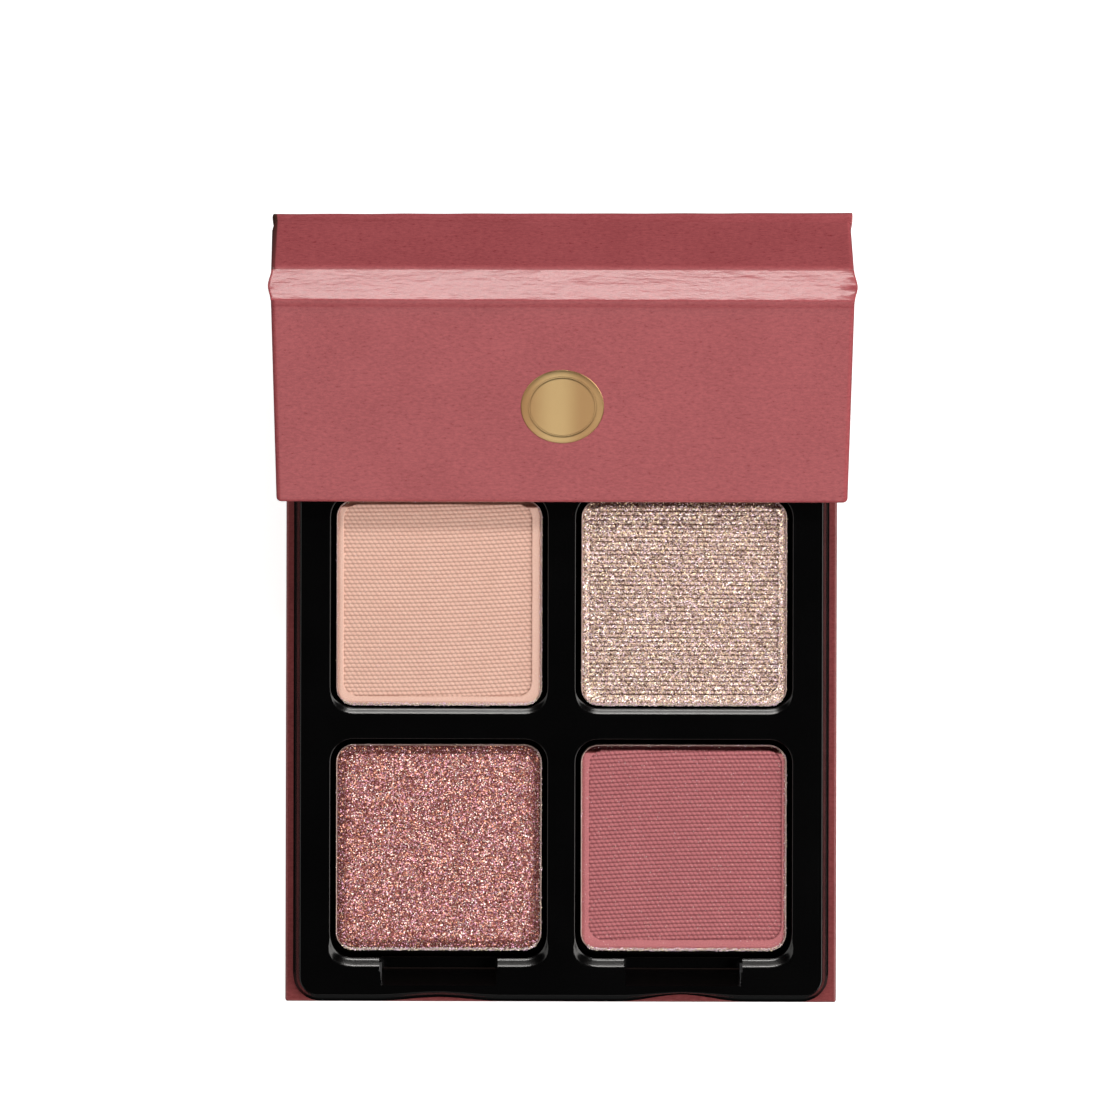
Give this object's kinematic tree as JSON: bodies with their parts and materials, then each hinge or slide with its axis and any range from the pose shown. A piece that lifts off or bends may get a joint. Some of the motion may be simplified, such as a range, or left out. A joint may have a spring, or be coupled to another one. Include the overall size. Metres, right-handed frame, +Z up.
{
  "type": "eyeshadow palette",
  "caption": "Pocket eyeshadow palette: glossy moulded tray of pressed-powder pans in a paper-wrapped board case, with a creased lid that folds back into a stand and closes on magnets.",
  "frame": {"origin": "centre of the underside of the base, on the table", "axes": "+Z up; +Y from the front edge to the spine; +X to the right seen from the front"},
  "size_m": [0.0714, 0.0994, 0.0283],
  "materials": {
    "greyboard": "matt grey chipboard",
    "wrap_paper": "satin coated paper, dusty rose",
    "lining_paper": "uncoated lining paper, dusty rose",
    "tray_plastic": "glossy black moulded plastic",
    "magnet_steel": "plated bar magnet",
    "tinplate": "bright drawn tinplate",
    "powder_peach": "matt pressed powder, fine ribs",
    "powder_champagne": "shimmer pressed powder, woven ribs",
    "powder_rose_glitter": "glitter pressed powder, granular",
    "powder_dusty_rose": "matt pressed powder, fine ribs",
    "clear_adhesive": "clear adhesive",
    "gold_foil": "hot-stamped gold foil"
  },
  "bodies": {
    "base": {"base_board": "greyboard", "base_wrap": "wrap_paper", "spine_board": "greyboard", "spine_liner": "lining_paper", "tray_tape": "clear_adhesive", "tray": "tray_plastic", "tray_magnets": "magnet_steel", "rear_left_pan": "tinplate", "rear_right_pan": "tinplate", "front_left_pan": "tinplate", "front_right_pan": "tinplate", "rear_left_powder": "powder_peach", "rear_right_powder": "powder_champagne", "front_left_powder": "powder_rose_glitter", "front_right_powder": "powder_dusty_rose", "rear_left_glue": "clear_adhesive", "rear_right_glue": "clear_adhesive", "front_left_glue": "clear_adhesive", "front_right_glue": "clear_adhesive"},
    "rear_panel": {"rear_panel_board": "greyboard", "rear_panel_wrap": "wrap_paper", "rear_panel_liner": "lining_paper"},
    "middle_panel": {"middle_panel_board": "greyboard", "middle_panel_wrap": "wrap_paper", "middle_panel_liner": "lining_paper"},
    "front_panel": {"front_panel_board": "greyboard", "front_panel_wrap": "wrap_paper", "front_panel_liner": "lining_paper", "foil_disc": "gold_foil", "lid_magnets": "magnet_steel"}
  },
  "joints": [
    {"name": "spine_hinge", "type": "hinge", "parent": "base", "child": "rear_panel", "pos_m": [0, 0.0362, 0.0132], "axis": [1, 0, 0], "range_deg": [0, 172.7]},
    {"name": "far_hinge", "type": "hinge", "parent": "rear_panel", "child": "middle_panel", "pos_m": [0, 0.06318, 0.01666], "axis": [1, 0, 0], "range_deg": [-122.01, 0]},
    {"name": "ridge_hinge", "type": "hinge", "parent": "middle_panel", "child": "front_panel", "pos_m": [0, 0.05362, 0.02834], "axis": [1, 0, 0], "range_deg": [-80.75, 0]}
  ],
  "couplings": [
    {"joint": "far_hinge", "follows": "spine_hinge", "ratio": -0.70643},
    {"joint": "ridge_hinge", "follows": "spine_hinge", "ratio": -0.46753}
  ]
}
